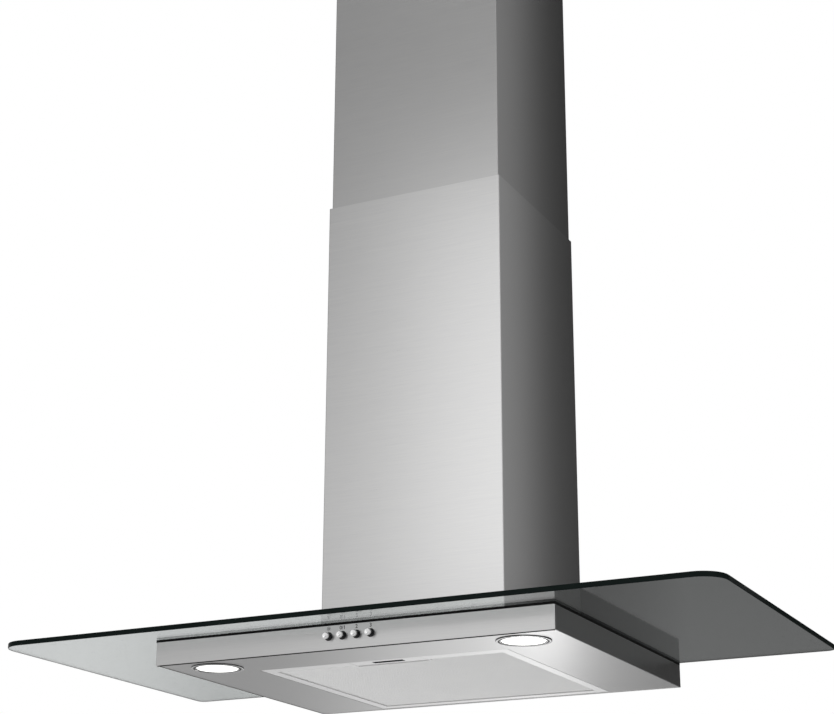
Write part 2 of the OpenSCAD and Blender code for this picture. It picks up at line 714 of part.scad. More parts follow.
module wiring_harness() color("dimgrey") {
    sweep(eased(switch_wire), switch_wire_r, 8);
    sweep(eased(left_lamp_wire), lamp_wire_r, 8);
    sweep(eased(right_lamp_wire), lamp_wire_r, 8);
}

// a sheet channel, open at the wall, with flanges turned in at its rear edges
module chimney_channel(w, y, z) difference() {
    mid_slab(w, y, z);
    mid_slab(w - 2 * sheet, [y[0] + sheet, y[1] - sheet], [z[0] - cut, z[1] + cut]);
    mid_slab(w - 2 * (sheet + return_w), [y[1] - 2 * sheet, y[1] + cut], [z[0] - cut, z[1] + cut]);
}

module lower_chimney() color("lightgrey") {
    chimney_channel(chimney_w, [-chimney_d, 0], [lower_z, lower_top]);
    both_sides() for (b = [bolts[0][1], bolts[1][1]]) difference() {
        slab([bolt_x - 6, chimney_w / 2 - sheet / 2], [b - 9, b + 9], [support_top + sheet, support_top + 2 * sheet]);
        rod_z(bolt_x, b, [support_top, support_top + 3 * sheet], bolt_r + fit);
    }
}

module upper_chimney() color("gainsboro") difference() {
    y = [upper_front, upper_rear];
    chimney_channel(upper_w, y, [upper_z, upper_top]);
    for (i = [0:6]) slab([-upper_w, upper_w], [y[0] + 60 + 18 * i, y[0] + 66 + 18 * i], [upper_z + 40, upper_z + 110]);
    for (s = [-1, 1], b = bracket_y)
        rod_x([s * upper_w / 2 - 3, s * upper_w / 2 + 3], b, upper_top - bracket_h / 2, 2 + 0.2);
}

module ceiling_bracket() color("grey") difference() {
    y = [-bracket_d, upper_rear - 2 * sheet];
    mid_slab(upper_in_w, y, [upper_top - bracket_h, upper_top]);
    mid_slab(upper_in_w - 2 * bracket_t, [y[0] - cut, y[1] + cut], [upper_top - bracket_h - cut, upper_top - bracket_t]);
    mid_slab(upper_in_w - 60, [y[0] - cut, y[1] - 25], [upper_top - 5, upper_top + cut]);
    for (s = [-1, 1]) {
        for (b = bracket_y) {
            rod_x([s * upper_w / 2 - 6, s * upper_w / 2 + 6], b, upper_top - bracket_h / 2, 2 + press);
            rod_z(s * (upper_in_w / 2 - 15), b, [upper_top - 5, upper_top + cut], ceiling_hole_r);
        }
    }
}

module bracket_screws() color("silver") both_sides() for (b = bracket_y) {
    rod_x([upper_w / 2 - 6, upper_w / 2], b, upper_top - bracket_h / 2, 2);
    rod_x([upper_w / 2, upper_w / 2 + 2.2], b, upper_top - bracket_h / 2, 4);
}

module chimney_glides() color("ivory") both_sides() for (y = [-glide[0] - 20, -chimney_d + 23])
    slab([lower_in_w / 2 - glide_t, lower_in_w / 2], [y, y + glide[0]], [lower_top - 60, lower_top - 60 + glide[1]]);

glass_canopy();
glass_gasket();
canopy_frame();
underside_panel();
support_plate();
glass_bolts();
glass_bushes();
filter_frame();
filter_front_mesh();
filter_core();
filter_back_mesh();
filter_pivot_pins();
filter_latch();
filter_latch_springs();
left_lamp_trim();
left_lamp_lens();
left_lamp_reflector();
left_lamp_bulb();
left_lamp_socket();
right_lamp_trim();
right_lamp_lens();
right_lamp_reflector();
right_lamp_bulb();
right_lamp_socket();
switch_block();
button_bushes();
lamp_button();
speed_1_button();
speed_2_button();
speed_3_button();
lamp_button_stem();
speed_1_stem();
speed_2_stem();
speed_3_stem();
lamp_button_spring();
speed_1_spring();
speed_2_spring();
speed_3_spring();
blower_casing();
wall_plate();
scroll_left();
scroll_right();
impeller();
impeller_shaft();
motor_body();
motor_bracket();
outlet_collar();
damper_spindle();
damper_flap_front();
damper_flap_rear();
terminal_box();
supply_gland();
motor_capacitor();
lamp_transformer();
wiring_harness();
lower_chimney();
upper_chimney();
ceiling_bracket();
bracket_screws();
chimney_glides();
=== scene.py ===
import bpy
import bmesh
import json
from math import cos, pi, radians, sin
from mathutils import Matrix, Quaternion, Vector


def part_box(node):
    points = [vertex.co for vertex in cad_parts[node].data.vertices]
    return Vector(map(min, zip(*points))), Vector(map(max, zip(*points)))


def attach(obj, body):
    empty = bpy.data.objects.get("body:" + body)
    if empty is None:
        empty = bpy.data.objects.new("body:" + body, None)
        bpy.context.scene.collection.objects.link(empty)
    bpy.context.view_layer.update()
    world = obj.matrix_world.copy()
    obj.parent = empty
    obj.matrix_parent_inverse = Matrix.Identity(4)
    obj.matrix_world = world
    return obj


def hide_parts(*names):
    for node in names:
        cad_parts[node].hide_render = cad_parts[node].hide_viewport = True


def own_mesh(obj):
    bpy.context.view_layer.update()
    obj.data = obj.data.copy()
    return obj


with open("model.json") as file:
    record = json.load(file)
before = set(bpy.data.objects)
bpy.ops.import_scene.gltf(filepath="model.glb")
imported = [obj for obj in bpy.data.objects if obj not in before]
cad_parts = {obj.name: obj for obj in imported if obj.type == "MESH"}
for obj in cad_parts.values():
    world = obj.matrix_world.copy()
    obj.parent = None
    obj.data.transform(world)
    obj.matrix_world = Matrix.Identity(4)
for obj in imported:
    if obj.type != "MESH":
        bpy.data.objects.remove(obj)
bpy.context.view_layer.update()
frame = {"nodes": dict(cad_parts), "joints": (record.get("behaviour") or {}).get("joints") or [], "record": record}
nodes = frame["nodes"]
bodyOf = {name: body for body, names in frame["record"]["behaviour"]["bodies"].items() for name in names}
mm = 0.001
hair = 1e-5  # places this close are the same place
tiny = 1e-6  # points this close are one point
print("frame loaded:", len(nodes), "nodes")

camera = {
    "place": (1.0055, -2.2400, -0.3965),
    "turn": -0.4635,  # from +Y towards +X
    "tilt": 0.3402,  # up from level
    "roll": 0.0035,
    "lens": 81.7,
}


def addCamera():
    turn, tilt = camera["turn"], camera["tilt"]
    look = Vector((sin(turn) * cos(tilt), cos(turn) * cos(tilt), sin(tilt)))
    data = bpy.data.cameras.new("camera")
    data.lens = camera["lens"]
    data.sensor_fit = "HORIZONTAL"
    data.sensor_width = 36
    data.clip_start = 0.05
    data.clip_end = 100
    holder = bpy.data.objects.new("camera", data)
    holder.location = camera["place"]
    holder.rotation_mode = "QUATERNION"
    holder.rotation_quaternion = look.to_track_quat("-Z", "Y") @ Quaternion((0, 0, 1), camera["roll"])
    bpy.context.scene.collection.objects.link(holder)
    bpy.context.scene.camera = holder


addCamera()
print("camera placed")


class Val:
    def __init__(self, tree, socket=None):
        self.tree = tree
        self.socket = socket

    def node(self, kind, settings=None, sockets=None, out=0):
        made = self.tree.nodes.new("ShaderNode" + kind)
        for name, value in (settings or {}).items():
            if name == "stops":
                band = made.color_ramp.elements
                band.remove(band[1])
                band[0].position, band[0].color = value[0][0], grey(value[0][1])
                for place, colour in value[1:]:
                    band.new(place).color = grey(colour)
            else:
                setattr(made, name, value)
        for name, value in (sockets or {}).items():
            if isinstance(value, Val):
                self.tree.links.new(value.socket, made.inputs[name])
            else:
                made.inputs[name].default_value = value
        return Val(self.tree, made.outputs[out])

    def maths(self, operation, first, second=0.0):
        return self.node("Math", {"operation": operation}, {0: first, 1: second})

    def __add__(self, other):
        return self.maths("ADD", self, other)

    def __mul__(self, other):
        return self.maths("MULTIPLY", self, other)

    def __sub__(self, other):
        return self.maths("SUBTRACT", self, other)

    def __rsub__(self, other):
        return self.maths("SUBTRACT", other, self)

    def __gt__(self, other):
        return self.maths("GREATER_THAN", self, other)

    __radd__ = __add__
    __rmul__ = __mul__


def grey(colour):
    if isinstance(colour, (int, float)):
        return (colour, colour, colour, 1)
    return tuple(colour) + (1,) * (4 - len(colour))


# a Principled material; fixed values go straight onto its sockets
def newMaterial(name, paint=None, **fixed):
    material = bpy.data.materials.new(name)
    material.use_nodes = True
    tree = material.node_tree
    shader = tree.nodes["Principled BSDF"]
    for socket, value in fixed.items():
        shader.inputs[socket.replace("_", " ")].default_value = value
    if paint:
        start = Val(tree)
        for socket, value in paint(start).items():
            tree.links.new(value.socket, shader.inputs[socket])
    return material


def objectPlace(start, scale=(1, 1, 1)):
    place = start.node("TexCoord", out=3)
    return place.node("Mapping", {}, {"Vector": place, "Scale": scale})


def noise(start, scale, stretch=(1, 1, 1), detail=3.0, roughness=0.5):
    place = objectPlace(start, stretch)
    sockets = {"Vector": place, "Scale": scale, "Detail": detail, "Roughness": roughness}
    return place.node("TexNoise", {}, sockets)


def mixColour(factor, first, second):
    made = factor.tree.nodes.new("ShaderNodeMix")
    made.data_type = "RGBA"
    for socket, value in ((made.inputs[0], factor), (made.inputs[6], first), (made.inputs[7], second)):
        if isinstance(value, Val):
            factor.tree.links.new(value.socket, socket)
        else:
            socket.default_value = grey(value)
    return Val(factor.tree, made.outputs[2])


def bump(height, strength, distance):
    return height.node("Bump", {}, {"Height": height, "Strength": strength, "Distance": distance})


brush = {
    "along": 30,  # streaks a metre, with the grain and across it
    "across": 2400,
    "dark": (0.90, 0.90, 0.91),
    "light": (1.10, 1.095, 1.08),
    "fine": 0.75,
    "spread": 0.10,
}


# brushed metal, with its grain along one axis
def brushed(name, along, tone=0.62, roughness=0.3, grain=0.5, metallic=1.0):
    stretch = [brush["along"] if axis == along else brush["across"] for axis in "xyz"]
    dark, light = ([tone * part for part in brush[shade]] for shade in ("dark", "light"))

    def paint(start):
        fine = noise(start, 1.0, stretch, 2.0)
        broad = noise(start, 0.2, stretch, 1.0)
        streak = fine * brush["fine"] + broad * (1 - brush["fine"])
        return {
            "Base Color": mixColour(streak, dark, light),
            "Roughness": streak * brush["spread"] + (roughness - brush["spread"] / 2),
            "Normal": bump(fine, 0.10 * grain, 0.0002),
        }

    return newMaterial(name, paint, Metallic=metallic)


def rolled(name, colour, roughness, metallic, spangle=60.0, depth=0.1):
    def paint(start):
        place = objectPlace(start)
        patch = place.node("TexVoronoi", {}, {"Vector": place, "Scale": spangle}, out=1)
        value = patch.node("SeparateColor", {}, {"Color": patch})
        cloud = noise(start, 9.0)
        shade = value * 0.6 + cloud * 0.4
        return {
            "Base Color": mixColour(shade, [c * 0.82 for c in colour], [min(1, c * 1.14) for c in colour]),
            "Roughness": shade * 0.14 + (roughness - 0.07),
            "Normal": bump(cloud, depth, 0.0004),
        }

    return newMaterial(name, paint, Metallic=metallic)


def moulded(name, colour, roughness, texture=0.08, scale=900.0, **fixed):
    def paint(start):
        pebble = noise(start, scale, detail=2.0)
        cloud = noise(start, 14.0)
        return {
            "Base Color": mixColour(cloud, [c * 0.86 for c in colour], [min(1, c * 1.12) for c in colour]),
            "Roughness": cloud * 0.1 + pebble * 0.06 + (roughness - 0.08),
            "Normal": bump(pebble, texture, 0.0002),
        }

    return newMaterial(name, paint, **fixed)


def floatGlass():
    def paint(start):
        dust = noise(start, 240.0, detail=1.0)
        speck = (dust > 0.735) * 0.5
        return {
            "Base Color": mixColour(speck, (0.84, 0.88, 0.875), (0.30, 0.33, 0.32)),
            "Roughness": speck * 0.3 + 0.004,
        }

    return newMaterial("floatGlass", paint, IOR=1.5, Transmission_Weight=1.0)


def glassEdge():
    def paint(start):
        ripple = noise(start, 30.0, (1, 1, 6))
        return {
            "Base Color": mixColour(ripple, (0.002, 0.004, 0.0035), (0.006, 0.011, 0.010)),
            "Roughness": ripple * 0.12 + 0.14,
        }

    return newMaterial("glassEdge", paint, IOR=1.3, Specular_IOR_Level=0.1)


def glowingLens():
    def paint(start):
        place = objectPlace(start)
        prism = place.node("TexVoronoi", {}, {"Vector": place, "Scale": 420.0})
        colour = mixColour(prism, (1.0, 0.99, 0.96), (0.9, 0.9, 0.88))
        return {"Base Color": colour, "Emission Color": colour, "Normal": bump(prism, 0.25, 0.0004)}

    return newMaterial("glowingLens", paint, Roughness=0.25, Emission_Strength=1.4)


def expandedMetal():
    def paint(start):
        cloud = noise(start, 12.0)
        fine = noise(start, 500.0)
        return {
            "Base Color": mixColour(cloud, (0.92, 0.92, 0.92), (0.98, 0.98, 0.97)),
            "Roughness": fine * 0.15 + 0.30,
        }

    return newMaterial("expandedMetal", paint, Metallic=0.6)


def knittedCore():
    def paint(start):
        strand = noise(start, 420.0, detail=5.0, roughness=0.7)
        return {
            "Base Color": mixColour(strand, (0.62, 0.62, 0.625), (0.97, 0.97, 0.96)),
            "Roughness": strand * 0.2 + 0.3,
            "Normal": bump(strand, 0.25, 0.0006),
        }

    return newMaterial("knittedCore", paint, Metallic=0.55)


# turned metal or plastic, with rings round an axis that is given by one point of it
def turned(name, colour, roughness, axis, centre, rings=2600.0):
    across = [0 if i == axis else 1 for i in range(3)]

    def paint(start):
        place = start.node("TexCoord", out=3)
        away = place.node("VectorMath", {"operation": "SUBTRACT"}, {0: place, 1: centre})
        flat = away.node("VectorMath", {"operation": "MULTIPLY"}, {0: away, 1: across})
        reach = flat.node("VectorMath", {"operation": "LENGTH"}, {0: flat}, out=1)
        phase = reach * rings
        ring = phase.maths("SINE", phase) * 0.5 + 0.5
        cloud = noise(start, 60.0)
        return {
            "Base Color": mixColour(cloud, [c * 0.9 for c in colour], [min(1, c * 1.08) for c in colour]),
            "Roughness": ring * 0.08 + cloud * 0.06 + (roughness - 0.07),
            "Normal": bump(ring, 0.05, 0.0001),
        }

    return newMaterial(name, paint, Metallic=1.0)


brushedAcross = brushed("brushedAcross", "x", tone=0.60, roughness=0.30)
chimneySteel = brushed("chimneySteel", "x", tone=0.62, roughness=0.30)
# painted shade: the upper chimney gets a darker tone of the same steel, standing in for the shade above its seam
# with the lower chimney
upperSteelPaintedShade = brushed("upperSteelPaintedShade", "x", tone=0.54, roughness=0.31)
brushedPanel = brushed("brushedPanel", "x", tone=0.66, roughness=0.30)
anodised = brushed("anodised", "x", tone=0.86, roughness=0.38, grain=0.3, metallic=0.45)
galvanised = rolled("galvanised", (0.56, 0.58, 0.60), 0.42, 1.0)
zincPlate = rolled("zincPlate", (0.70, 0.69, 0.64), 0.30, 1.0, spangle=260.0)
springWire = rolled("springWire", (0.50, 0.50, 0.52), 0.26, 1.0, spangle=300.0)
mirrorPlate = rolled("mirrorPlate", (0.86, 0.86, 0.86), 0.14, 1.0, spangle=90.0, depth=0.03)
motorPaint = moulded("motorPaint", (0.09, 0.10, 0.11), 0.45)
blackPlastic = moulded("blackPlastic", (0.016, 0.016, 0.018), 0.42)
greyPlastic = moulded("greyPlastic", (0.20, 0.20, 0.21), 0.5)
whitePlastic = moulded("whitePlastic", (0.72, 0.71, 0.66), 0.45)
ceramic = moulded("ceramic", (0.80, 0.78, 0.72), 0.35, texture=0.04)
blackRubber = moulded("blackRubber", (0.006, 0.006, 0.006), 0.8, texture=0.2, Specular_IOR_Level=0.15)
printedBlack = moulded("printedBlack", (0.02, 0.02, 0.02), 0.6)
glass = floatGlass()
edge = glassEdge()
lensGlow = glowingLens()
meshMetal = expandedMetal()
coreMetal = knittedCore()
print("materials made")

plainFinishes = {
    "glass_gasket": blackRubber, "support_plate": galvanised, "glass_bolts": zincPlate,
    "glass_bushes": whitePlastic, "filter_core": coreMetal, "filter_back_mesh": meshMetal,
    "filter_pivot_pins": zincPlate, "filter_latch_springs": springWire, "switch_block": greyPlastic,
    "button_bushes": blackPlastic, "wall_plate": galvanised, "scroll_left": whitePlastic,
    "scroll_right": whitePlastic, "impeller": greyPlastic, "impeller_shaft": zincPlate,
    "motor_body": motorPaint, "motor_bracket": galvanised, "outlet_collar": blackPlastic,
    "damper_spindle": zincPlate, "damper_flap_front": greyPlastic, "damper_flap_rear": greyPlastic,
    "terminal_box": blackPlastic, "supply_gland": greyPlastic, "motor_capacitor": whitePlastic,
    "lamp_transformer": blackPlastic, "wiring_harness": greyPlastic, "ceiling_bracket": galvanised,
    "bracket_screws": zincPlate, "chimney_glides": whitePlastic, "blower_casing": galvanised,
    "canopy_frame": brushedAcross, "underside_panel": brushedPanel, "filter_frame": anodised,
    "filter_front_mesh": meshMetal, "filter_latch": anodised, "lower_chimney": chimneySteel,
    "upper_chimney": upperSteelPaintedShade, "glass_canopy": glass,
}
for side in ("left", "right"):
    plainFinishes[side + "_lamp_trim"] = brushedAcross
    plainFinishes[side + "_lamp_lens"] = lensGlow
    plainFinishes[side + "_lamp_reflector"] = mirrorPlate
    plainFinishes[side + "_lamp_bulb"] = lensGlow
    plainFinishes[side + "_lamp_socket"] = ceramic
for key in ("lamp_button", "speed_1_button", "speed_2_button", "speed_3_button"):
    plainFinishes[key] = mirrorPlate
for key in ("lamp_button", "speed_1", "speed_2", "speed_3"):
    plainFinishes[key + "_stem"] = blackPlastic
    plainFinishes[key + "_spring"] = springWire

for name, node in nodes.items():
    node.data.materials.clear()
    node.data.materials.append(plainFinishes[name])
print("finishes given to", len(nodes), "nodes")


def addPiece(bm, name, body, materials, replaced=(), smooth=30):
    mesh = bpy.data.meshes.new(name)
    bm.to_mesh(mesh)
    bm.free()
    for material in materials if isinstance(materials, (list, tuple)) else [materials]:
        mesh.materials.append(material)
    piece = bpy.data.objects.new(name, mesh)
    bpy.context.scene.collection.objects.link(piece)
    if smooth:
        mesh.shade_smooth()
        mesh.set_sharp_from_angle(angle=radians(smooth))
        even = piece.modifiers.new("flatFaces", "WEIGHTED_NORMAL")
        even.keep_sharp = True
        even.weight = 90
    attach(piece, body)
    if replaced:
        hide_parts(*replaced)
    return piece


def bevelEdges(bm, edges, width, segments=2):
    bmesh.ops.bevel(bm, geom=edges, offset=width, offset_type="OFFSET", segments=segments, profile=0.5,
                    affect="EDGES", clamp_overlap=True, material=-1)


# pulls faces out into a solid, straight up
def thicken(bm, faces, height):
    made = bmesh.ops.extrude_face_region(bm, geom=faces)
    moved = [part for part in made["geom"] if isinstance(part, bmesh.types.BMVert)]
    bmesh.ops.translate(bm, verts=moved, vec=(0, 0, height))


# a clean copy of a CAD node, with its flat faces joined up again
def cleanCopy(name):
    bm = bmesh.new()
    bm.from_mesh(nodes[name].data)
    bmesh.ops.remove_doubles(bm, verts=bm.verts, dist=tiny)
    bmesh.ops.dissolve_limit(bm, angle_limit=radians(0.6), verts=bm.verts, edges=bm.edges)
    return bm


def sharpEdges(bm, angle=35):
    return [e for e in bm.edges if len(e.link_faces) == 2 and e.calc_face_angle(0) > radians(angle)]


# the CAD node again with its hard edges eased; a bend is a long outer edge with a radius of its own
def easedNode(name, width, material, bends=None):
    bm = cleanCopy(name)
    if bends:
        for chosen, radius in bends(bm):
            bevelEdges(bm, chosen, radius, 4)
    bevelEdges(bm, sharpEdges(bm), width)
    return addPiece(bm, name + "_eased", bodyOf[name], material, [name])


sheet = 1 * mm  # thickness of the folded steel


# vertical edges at the corners of a sheet channel, outside and inside the bend
def uprightBends(outer, inner, length):
    def chosen(bm):
        lo = Vector([min(v.co[i] for v in bm.verts) for i in range(3)])
        hi = Vector([max(v.co[i] for v in bm.verts) for i in range(3)])

        def corners(inset):
            found = []
            for edge in bm.edges:
                x, y = edge.verts[0].co.x, edge.verts[0].co.y
                upright = edge.calc_length() > length and abs(x - edge.verts[1].co.x) < tiny
                atSide = abs(abs(x) - (hi.x - inset)) < hair
                atFace = min(abs(y - (lo.y + inset)), abs(y - (hi.y - inset))) < hair
                if upright and atSide and atFace:
                    found.append(edge)
            return found

        yield corners(0), outer
        yield corners(sheet), inner

    return chosen


chimney = {
    "edge": 0.3 * mm,
    "topEdge": 0.85 * mm,
    "bend": 1.4 * mm,
    "innerBend": 0.5 * mm,
    "upright": 300 * mm,  # an upright bend is longer than this, and a part of the top rim than the next
    "rim": 50 * mm,
}


# the channel's bends, and the rounded outer edge round its top
def chimneyBends(bm):
    yield from uprightBends(chimney["bend"], chimney["innerBend"], chimney["upright"])(bm)
    top = max(v.co.z for v in bm.verts)
    left = min(v.co.x for v in bm.verts)
    front = min(v.co.y for v in bm.verts)
    reach = 1.5 * chimney["bend"]
    rim = []
    for edge in bm.edges:
        inward = [abs(abs(v.co.x) + left) for v in edge.verts]
        back = [v.co.y - front for v in edge.verts]
        onTop = all(v.co.z > top - hair for v in edge.verts)
        atSide = max(inward) < reach and min(inward) < hair
        atFront = max(back) < reach and min(back) < hair
        if onTop and (atSide or atFront) and edge.calc_length() > chimney["rim"]:
            rim.append(edge)
    yield rim, chimney["topEdge"]


for name in ("lower_chimney", "upper_chimney"):
    easedNode(name, chimney["edge"], plainFinishes[name], chimneyBends)
print("chimneys made")

box = {
    "edge": 0.35 * mm,
    "bend": 1.5 * mm,
    "innerBend": 0.5 * mm,
    "upright": 20 * mm,
    "panelEdge": 0.2 * mm,
    "filterEdge": 0.35 * mm,
    "latchEdge": 0.3 * mm,
}
boxBends = uprightBends(box["bend"], box["innerBend"], box["upright"])
easedNode("canopy_frame", box["edge"], brushedAcross, boxBends)
easedNode("underside_panel", box["panelEdge"], brushedPanel)
easedNode("filter_frame", box["filterEdge"], anodised)
easedNode("filter_latch", box["latchEdge"], anodised)

seal = {
    "proud": 1.25 * mm,
    "rim": 0.5 * mm,
    "lip": 2.0 * mm,
    "low": -0.6 * mm,
    "thick": 1.1 * mm,
    "round": 0.15 * mm,
    "beadProud": 0.3 * mm,
    "beadDeep": 0.3 * mm,
    "beadDrop": 0.9 * mm,
    "beadEnd": 1.0 * mm,
}


# the gasket, its rim squeezed out to just past the box
def addGasket():
    bm = cleanCopy("glass_gasket")
    lo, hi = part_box("glass_gasket")
    for vert in bm.verts:
        if abs(vert.co.x) > hi.x - seal["rim"]:
            vert.co.x += seal["proud"] * (1 if vert.co.x > 0 else -1)
        if vert.co.y < lo.y + seal["rim"]:
            vert.co.y -= seal["proud"]
    addPiece(bm, "gasket_rim", bodyOf["glass_gasket"], blackRubber, ["glass_gasket"], smooth=0)


# a rubber strip between two corners of its box, with its edges rounded
def addStrip(bm, low, high):
    made = bmesh.ops.create_cube(bm, size=1)
    middle = [(a + b) / 2 for a, b in zip(low, high)]
    bmesh.ops.scale(bm, verts=made["verts"], vec=[b - a for a, b in zip(low, high)])
    bmesh.ops.translate(bm, verts=made["verts"], vec=middle)
    bevelEdges(bm, list({e for v in made["verts"] for e in v.link_edges}), seal["round"])


# a black strip along the front edge of the underside panel, as painted shade: it stands in for the shadow in the
# gap between the box's front and the panel
def addPanelShadowStrip():
    lo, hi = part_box("underside_panel")
    bm = bmesh.new()
    addStrip(bm, (lo.x, lo.y, seal["low"]), (hi.x, lo.y + seal["lip"], seal["low"] + seal["thick"]))
    piece = addPiece(bm, "panel_lip", bodyOf["underside_panel"], blackRubber)


# the gasket's bead, which hangs over the upper edge of the box in front and at both sides
def addGasketBead():
    lo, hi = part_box("canopy_frame")
    proud, deep, low = seal["beadProud"], seal["beadDeep"], hi.z - seal["beadDrop"]
    bm = bmesh.new()
    addStrip(bm, (lo.x - proud, lo.y - proud, low), (hi.x + proud, lo.y + deep, hi.z))
    addStrip(bm, (lo.x - proud, lo.y - proud, low), (lo.x + deep, hi.y - seal["beadEnd"], hi.z))
    addStrip(bm, (hi.x - deep, lo.y - proud, low), (hi.x + proud, hi.y - seal["beadEnd"], hi.z))
    piece = addPiece(bm, "gasket_bead", bodyOf["glass_gasket"], blackRubber)


slotShadowCup = {
    "slot": (-15 * mm, 25 * mm, -313.7 * mm, -303.7 * mm),  # left, right, front and rear of the slot
    "gap": 0.1 * mm,
    "low": 0.9 * mm,
    "high": 9.2 * mm,
    "wall": 0.4 * mm,
    "deep": 7.8 * mm,
    "edge": 0.15 * mm,
}


# the black cup in the finger slot of the filter's latch: painted shade, put there to darken the slot
def addSlotShadowCup():
    left, right, front, rear = slotShadowCup["slot"]
    gap, low, high = slotShadowCup["gap"], slotShadowCup["low"], slotShadowCup["high"]
    bm = bmesh.new()
    bmesh.ops.create_cube(bm, size=1)
    bmesh.ops.scale(bm, verts=bm.verts, vec=(right - left - 2 * gap, rear - front - 2 * gap, high - low))
    bmesh.ops.translate(bm, verts=bm.verts, vec=((left + right) / 2, (front + rear) / 2, (low + high) / 2))
    mouth = [f for f in bm.faces if f.normal.z < -0.9]
    bmesh.ops.inset_region(bm, faces=mouth, thickness=slotShadowCup["wall"], use_boundary=True)
    thicken(bm, mouth, slotShadowCup["deep"])
    bmesh.ops.delete(bm, geom=mouth, context="FACES_ONLY")
    bmesh.ops.recalc_face_normals(bm, faces=bm.faces)
    bevelEdges(bm, sharpEdges(bm), slotShadowCup["edge"])
    piece = addPiece(bm, "slot_shadow_cup", bodyOf["filter_latch"], blackPlastic)


addGasket()
addPanelShadowStrip()
addGasketBead()
addSlotShadowCup()
print("canopy made")


glassCare = {
    "arris": 0.7 * mm,
    "aside": 30 * mm,  # room round the air way, whose own edges stay plain
    "ahead": 10 * mm,
    "behind": 4 * mm,
}


def addGlass():
    bm = cleanCopy("glass_canopy")
    lo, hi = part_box("blower_casing")

    def onRim(part):
        place = sum((v.co for v in part.verts), Vector()) / len(part.verts)
        withinWidth = lo.x - glassCare["aside"] < place.x < hi.x + glassCare["aside"]
        return not (withinWidth and lo.y - glassCare["ahead"] < place.y < hi.y - glassCare["behind"])

    rim = [e for e in sharpEdges(bm, 60) if abs(e.verts[0].co.z - e.verts[1].co.z) < tiny and onRim(e)]
    bevelEdges(bm, rim, glassCare["arris"])
    for face in bm.faces:
        face.material_index = 1 if abs(face.normal.z) < 0.95 and onRim(face) else 0
    addPiece(bm, "glass_sheet", bodyOf["glass_canopy"], [glass, edge], ["glass_canopy"], smooth=25)


addGlass()
print("glass made")


expanded = {
    "long": 7.0 * mm,
    "short": 4.2 * mm,
    "strand": 0.55 * mm,
    "rise": 0.35 * mm,
    "sheet": 0.3 * mm,
    "gap": 0.2 * mm,
    "opened": 3.5e-6,  # square metres; a smaller scrap of a cell stays shut
}


notch = {"side": 1.8 * mm, "rear": 8.0 * mm, "corner": (12.0 * mm, 10.0 * mm)}


# the places where the filter's layers make room for the latch and the two pivots
def filterNotches(lo, hi):
    latchLo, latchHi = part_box("filter_latch")
    side, (wide, long) = notch["side"], notch["corner"]
    return [((latchLo.x - side, lo.y - side), (latchHi.x + side, latchHi.y + notch["rear"])),
            ((lo.x - side, hi.y - long), (lo.x + wide, hi.y + side)),
            ((hi.x - wide, hi.y - long), (hi.x + side, hi.y + side))]


def cutNotch(bm, low, high, cell):
    def within(face, room):
        place = face.calc_center_median()
        return low[0] - room < place.x < high[0] + room and low[1] - room < place.y < high[1] + room

    for point, away in ((low, (1, 0, 0)), (low, (0, 1, 0)), (high, (1, 0, 0)), (high, (0, 1, 0))):
        near = [f for f in bm.faces if within(f, cell)]
        parts = near + list({e for f in near for e in f.edges}) + list({v for f in near for v in f.verts})
        bmesh.ops.bisect_plane(bm, geom=parts, plane_co=(point[0], point[1], 0), plane_no=away, dist=tiny)
    bmesh.ops.delete(bm, geom=[f for f in bm.faces if within(f, 0)], context="FACES")


# a diamond mesh as wide as a CAD sheet, its strands raised towards the side that shows
def addMesh(name, node, up, cell=1.0):
    lo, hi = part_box(node)
    step = expanded["short"] * cell
    reach = (hi.x - lo.x) * expanded["short"] / expanded["long"] + (hi.y - lo.y)
    count = int(reach / step) + 3
    side = step / 2 ** 0.5
    bm = bmesh.new()
    bmesh.ops.create_grid(bm, x_segments=count, y_segments=count, size=count * side / 2)
    bmesh.ops.rotate(bm, verts=bm.verts, matrix=Matrix.Rotation(radians(45), 3, "Z"))
    bmesh.ops.scale(bm, verts=bm.verts, vec=(expanded["long"] / expanded["short"], 1, 1))
    bmesh.ops.translate(bm, verts=bm.verts, vec=((lo.x + hi.x) / 2, (lo.y + hi.y) / 2, 0))
    gap = expanded["gap"]
    for point, away in (((hi.x - gap, 0, 0), (1, 0, 0)), ((lo.x + gap, 0, 0), (-1, 0, 0)),
                        ((0, hi.y - gap, 0), (0, 1, 0)), ((0, lo.y + gap, 0), (0, -1, 0))):
        everything = bm.verts[:] + bm.edges[:] + bm.faces[:]
        bmesh.ops.bisect_plane(bm, geom=everything, plane_co=point, plane_no=away,
                               clear_outer=True, dist=tiny)
    for low, high in filterNotches(lo, hi):
        cutNotch(bm, low, high, expanded["long"] * cell)
    openings = [f for f in bm.faces if f.calc_area() > expanded["opened"] * cell ** 2]
    bmesh.ops.inset_individual(bm, faces=openings, thickness=expanded["strand"] * cell,
                               depth=-expanded["rise"] if up else expanded["rise"], use_even_offset=True)
    bmesh.ops.delete(bm, geom=openings, context="FACES_ONLY")
    if not up:
        bmesh.ops.reverse_faces(bm, faces=bm.faces[:])
    level = hi.z - expanded["sheet"] if up else lo.z + expanded["sheet"]
    bmesh.ops.translate(bm, verts=bm.verts, vec=(0, 0, level))
    piece = addPiece(bm, name, bodyOf[node], meshMetal, [node], smooth=0)
    thick = piece.modifiers.new("thickness", "SOLIDIFY")
    thick.thickness = expanded["sheet"]
    thick.offset = -1


addMesh("front_mesh_expanded", "filter_front_mesh", up=False)
addMesh("back_mesh_expanded", "filter_back_mesh", up=True, cell=1.5)
print("filter mesh made")


